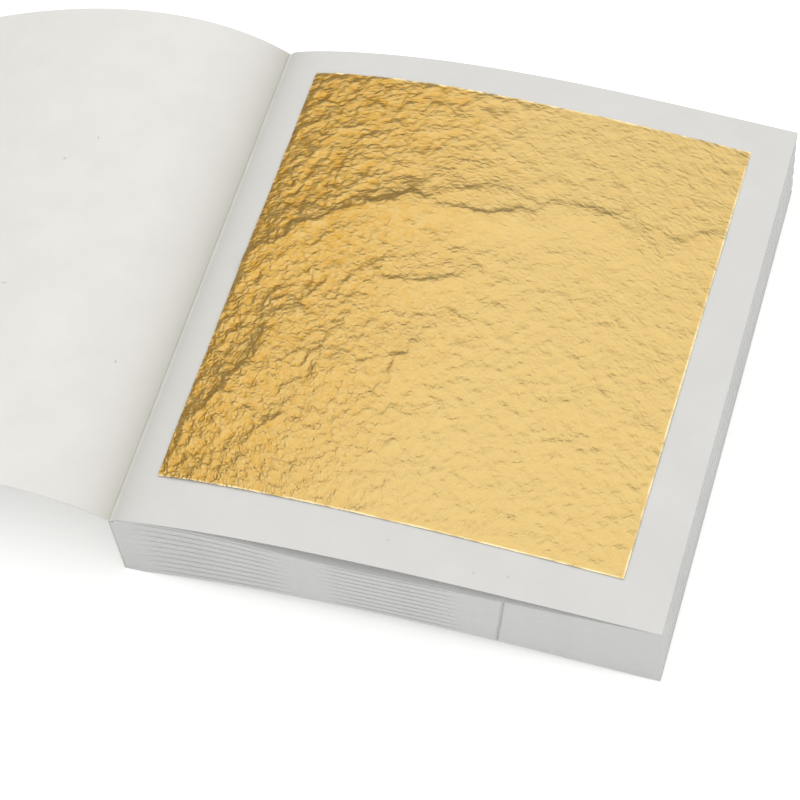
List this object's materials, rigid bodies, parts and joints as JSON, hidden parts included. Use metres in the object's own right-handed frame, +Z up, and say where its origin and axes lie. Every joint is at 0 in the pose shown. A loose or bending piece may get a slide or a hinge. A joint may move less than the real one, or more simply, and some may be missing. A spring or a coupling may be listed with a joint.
{
  "type": "gold leaf booklet",
  "caption": "Opened booklet of gold leaf: a glue-bound block of square paper leaves, each carrying a thin crinkled gold sheet, under a turned paper cover.",
  "frame": {"origin": "The middle of the flat strip under the spine that the block stands on.", "axes": "+X from the spine to the fore-edge, +Y from the front edge to the back edge, +Z up from the table."},
  "size_m": [0.1825, 0.0992, 0.0243],
  "materials": {
    "interleaf_paper": "soft uncoated white tissue paper, slightly translucent",
    "cover_paper": "smooth thin white paper, matt",
    "spine_paper": "white paper strip over the glued edge",
    "spine_glue": "dried white padding glue, matt",
    "gold_leaf": "beaten gold leaf, satin, finely crinkled"
  },
  "bodies": {
    "block": {"back_cover": "cover_paper", "spine_wrap": "spine_paper", "spine_glue": "spine_glue", "interleaf_06": "interleaf_paper", "interleaf_07": "interleaf_paper", "interleaf_08": "interleaf_paper", "interleaf_09": "interleaf_paper", "interleaf_10": "interleaf_paper", "gold_leaf_06": "gold_leaf", "gold_leaf_07": "gold_leaf", "gold_leaf_08": "gold_leaf", "gold_leaf_09": "gold_leaf", "gold_leaf_10": "gold_leaf", "paper_bundle_02": "interleaf_paper", "paper_bundle_03": "interleaf_paper", "paper_bundle_04": "interleaf_paper", "paper_bundle_05": "interleaf_paper", "paper_bundle_06": "interleaf_paper", "paper_bundle_07": "interleaf_paper", "paper_bundle_08": "interleaf_paper", "paper_bundle_09": "interleaf_paper", "paper_bundle_10": "interleaf_paper", "gold_bundle_02": "gold_leaf", "gold_bundle_03": "gold_leaf", "gold_bundle_04": "gold_leaf", "gold_bundle_05": "gold_leaf", "gold_bundle_06": "gold_leaf", "gold_bundle_07": "gold_leaf", "gold_bundle_08": "gold_leaf", "gold_bundle_09": "gold_leaf", "gold_bundle_10": "gold_leaf"},
    "cover": {"front_cover": "cover_paper"},
    "leaf_05": {"interleaf_05": "interleaf_paper", "gold_leaf_05": "gold_leaf"},
    "leaf_04": {"interleaf_04": "interleaf_paper", "gold_leaf_04": "gold_leaf"},
    "leaf_03": {"interleaf_03": "interleaf_paper", "gold_leaf_03": "gold_leaf"},
    "leaf_02": {"interleaf_02": "interleaf_paper", "gold_leaf_02": "gold_leaf"},
    "leaf_01": {"interleaf_01": "interleaf_paper"},
    "loose_gold": {"gold_leaf_01": "gold_leaf"}
  },
  "joints": [
    {"name": "cover_hinge", "type": "hinge", "parent": "block", "child": "cover", "pos_m": [-0.00028, 0, 0.0176], "axis": [0, 1, 0], "range_deg": [0, 177], "deforming": ["front_cover"]},
    {"name": "leaf_05_turn", "type": "hinge", "parent": "block", "child": "leaf_05", "pos_m": [0.00048, 0, 0.01715], "axis": [0, 1, 0], "range_deg": [-6, 0]},
    {"name": "leaf_04_turn", "type": "hinge", "parent": "leaf_05", "child": "leaf_04", "pos_m": [0.00049, 0, 0.01733], "axis": [0, 1, 0], "range_deg": [-6, 0]},
    {"name": "leaf_03_turn", "type": "hinge", "parent": "leaf_04", "child": "leaf_03", "pos_m": [0.0005, 0, 0.01751], "axis": [0, 1, 0], "range_deg": [-6, 0]},
    {"name": "leaf_02_turn", "type": "hinge", "parent": "leaf_03", "child": "leaf_02", "pos_m": [0.00051, 0, 0.01769], "axis": [0, 1, 0], "range_deg": [-6, 0]},
    {"name": "leaf_01_turn", "type": "hinge", "parent": "leaf_02", "child": "leaf_01", "pos_m": [0.00052, 0, 0.018], "axis": [0, 1, 0], "range_deg": [-92, 0]},
    {"name": "gold_leaf_slide", "type": "slide", "parent": "leaf_01", "child": "loose_gold", "axis": [0, -1, 0], "range_m": [0, 0.1]}
  ]
}
